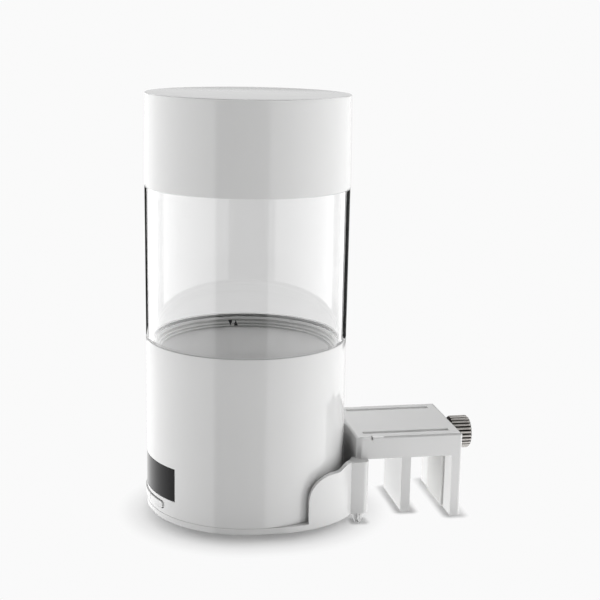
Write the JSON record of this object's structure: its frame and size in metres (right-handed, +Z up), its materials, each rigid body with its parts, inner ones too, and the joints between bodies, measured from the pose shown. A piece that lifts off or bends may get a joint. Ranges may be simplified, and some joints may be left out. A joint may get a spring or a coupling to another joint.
{
  "type": "automatic fish feeder",
  "caption": "Cylindrical aquarium feeder with a clear food bin, dosing wheel, smoked display, keys and a screw clamp for the tank rim.",
  "frame": {"origin": "on the axis of the cylindrical body, at the underside of the base plate", "axes": "+Z up along the body's axis, +X towards the rim clamp, the display faces -X"},
  "size_m": [0.1115, 0.0668, 0.14],
  "materials": {
    "white_plastic": "glossy moulded white",
    "clear_plastic": "clear polished",
    "smoked_window": "smoked, polished",
    "black_plastic": "matt black",
    "grey_plastic": "fine stipple",
    "circuit_board": "solder mask",
    "battery_sleeve": "shrink sleeve",
    "gear_nylon": "natural nylon",
    "steel": "plain",
    "dark_steel": "knurled, dark nickel",
    "brass": "turned",
    "silicone": "translucent white silicone"
  },
  "bodies": {
    "base": {"base_plate": "white_plastic", "body_shell": "white_plastic", "display_window": "smoked_window", "display_module": "black_plastic", "control_board": "circuit_board", "tact_switches": "black_plastic", "usb_socket": "steel", "battery_cell": "battery_sleeve", "gear_motor": "steel", "motor_bracket": "white_plastic", "rotor_deck": "white_plastic", "shaft_bush": "brass", "outlet_chute": "white_plastic", "hopper_ring": "grey_plastic", "floor_disc": "grey_plastic", "base_screws": "steel", "deck_screws": "steel", "clamp_arm": "white_plastic", "screw_bush": "brass", "end_jaw_pad": "silicone"},
    "rotor": {"dosing_wheel": "grey_plastic", "rotor_shaft": "steel", "rotor_gear": "gear_nylon", "shaft_clip": "steel"},
    "pinion": {"drive_pinion": "brass", "motor_shaft": "steel"},
    "thumb_screw": {"clamp_screw": "steel", "thumb_knob": "dark_steel", "screw_clip": "steel"},
    "jaw": {"sliding_jaw": "white_plastic", "jaw_nut": "brass", "jaw_pad": "silicone"},
    "left_key": {"key_left": "white_plastic"},
    "middle_key": {"key_middle": "white_plastic"},
    "right_key": {"key_right": "white_plastic"},
    "seal": {"bin_seal": "silicone"},
    "bin": {"food_bin": "clear_plastic", "lid_seal": "silicone"},
    "cover": {"lid": "white_plastic"}
  },
  "joints": [
    {"name": "rotor_spin", "type": "hinge", "parent": "base", "child": "rotor", "pos_m": [0, 0, 0.045], "axis": [0, 0, 1], "continuous": true},
    {"name": "pinion_spin", "type": "hinge", "parent": "base", "child": "pinion", "pos_m": [0.00893, -0.01546, 0.04], "axis": [0, 0, 1], "continuous": true},
    {"name": "screw_turn", "type": "hinge", "parent": "base", "child": "thumb_screw", "pos_m": [0.06, 0, 0.0204], "axis": [-1, 0, 0], "range_deg": [-5140, 5500]},
    {"name": "jaw_slide", "type": "slide", "parent": "base", "child": "jaw", "axis": [1, 0, 0], "range_m": [-0.0101, 0.0108]},
    {"name": "left_key_press", "type": "slide", "parent": "base", "child": "left_key", "axis": [1, 0, 0], "range_m": [0, 0.0006], "stiffness_N_per_m": 1500, "springref_m": -0.0006},
    {"name": "middle_key_press", "type": "slide", "parent": "base", "child": "middle_key", "axis": [1, 0, 0], "range_m": [0, 0.0006], "stiffness_N_per_m": 1500, "springref_m": -0.0006},
    {"name": "right_key_press", "type": "slide", "parent": "base", "child": "right_key", "axis": [1, 0, 0], "range_m": [0, 0.0006], "stiffness_N_per_m": 1500, "springref_m": -0.0006},
    {"name": "bin_lift", "type": "slide", "parent": "base", "child": "seal", "axis": [0, 0, 1], "range_m": [0, 0.0061]},
    {"name": "bin_twist", "type": "hinge", "parent": "seal", "child": "bin", "pos_m": [0, 0, 0.055], "axis": [0, 0, 1], "range_deg": [0, 240]},
    {"name": "lid_lift", "type": "slide", "parent": "bin", "child": "cover", "axis": [0, 0, 1], "range_m": [0, 0.04]}
  ],
  "couplings": [
    {"joint": "pinion_spin", "follows": "rotor_spin", "ratio": -2},
    {"joint": "jaw_slide", "follows": "screw_turn", "m_per_rad": 0.00011141},
    {"joint": "bin_lift", "follows": "bin_twist", "m_per_rad": 0.0014324}
  ]
}
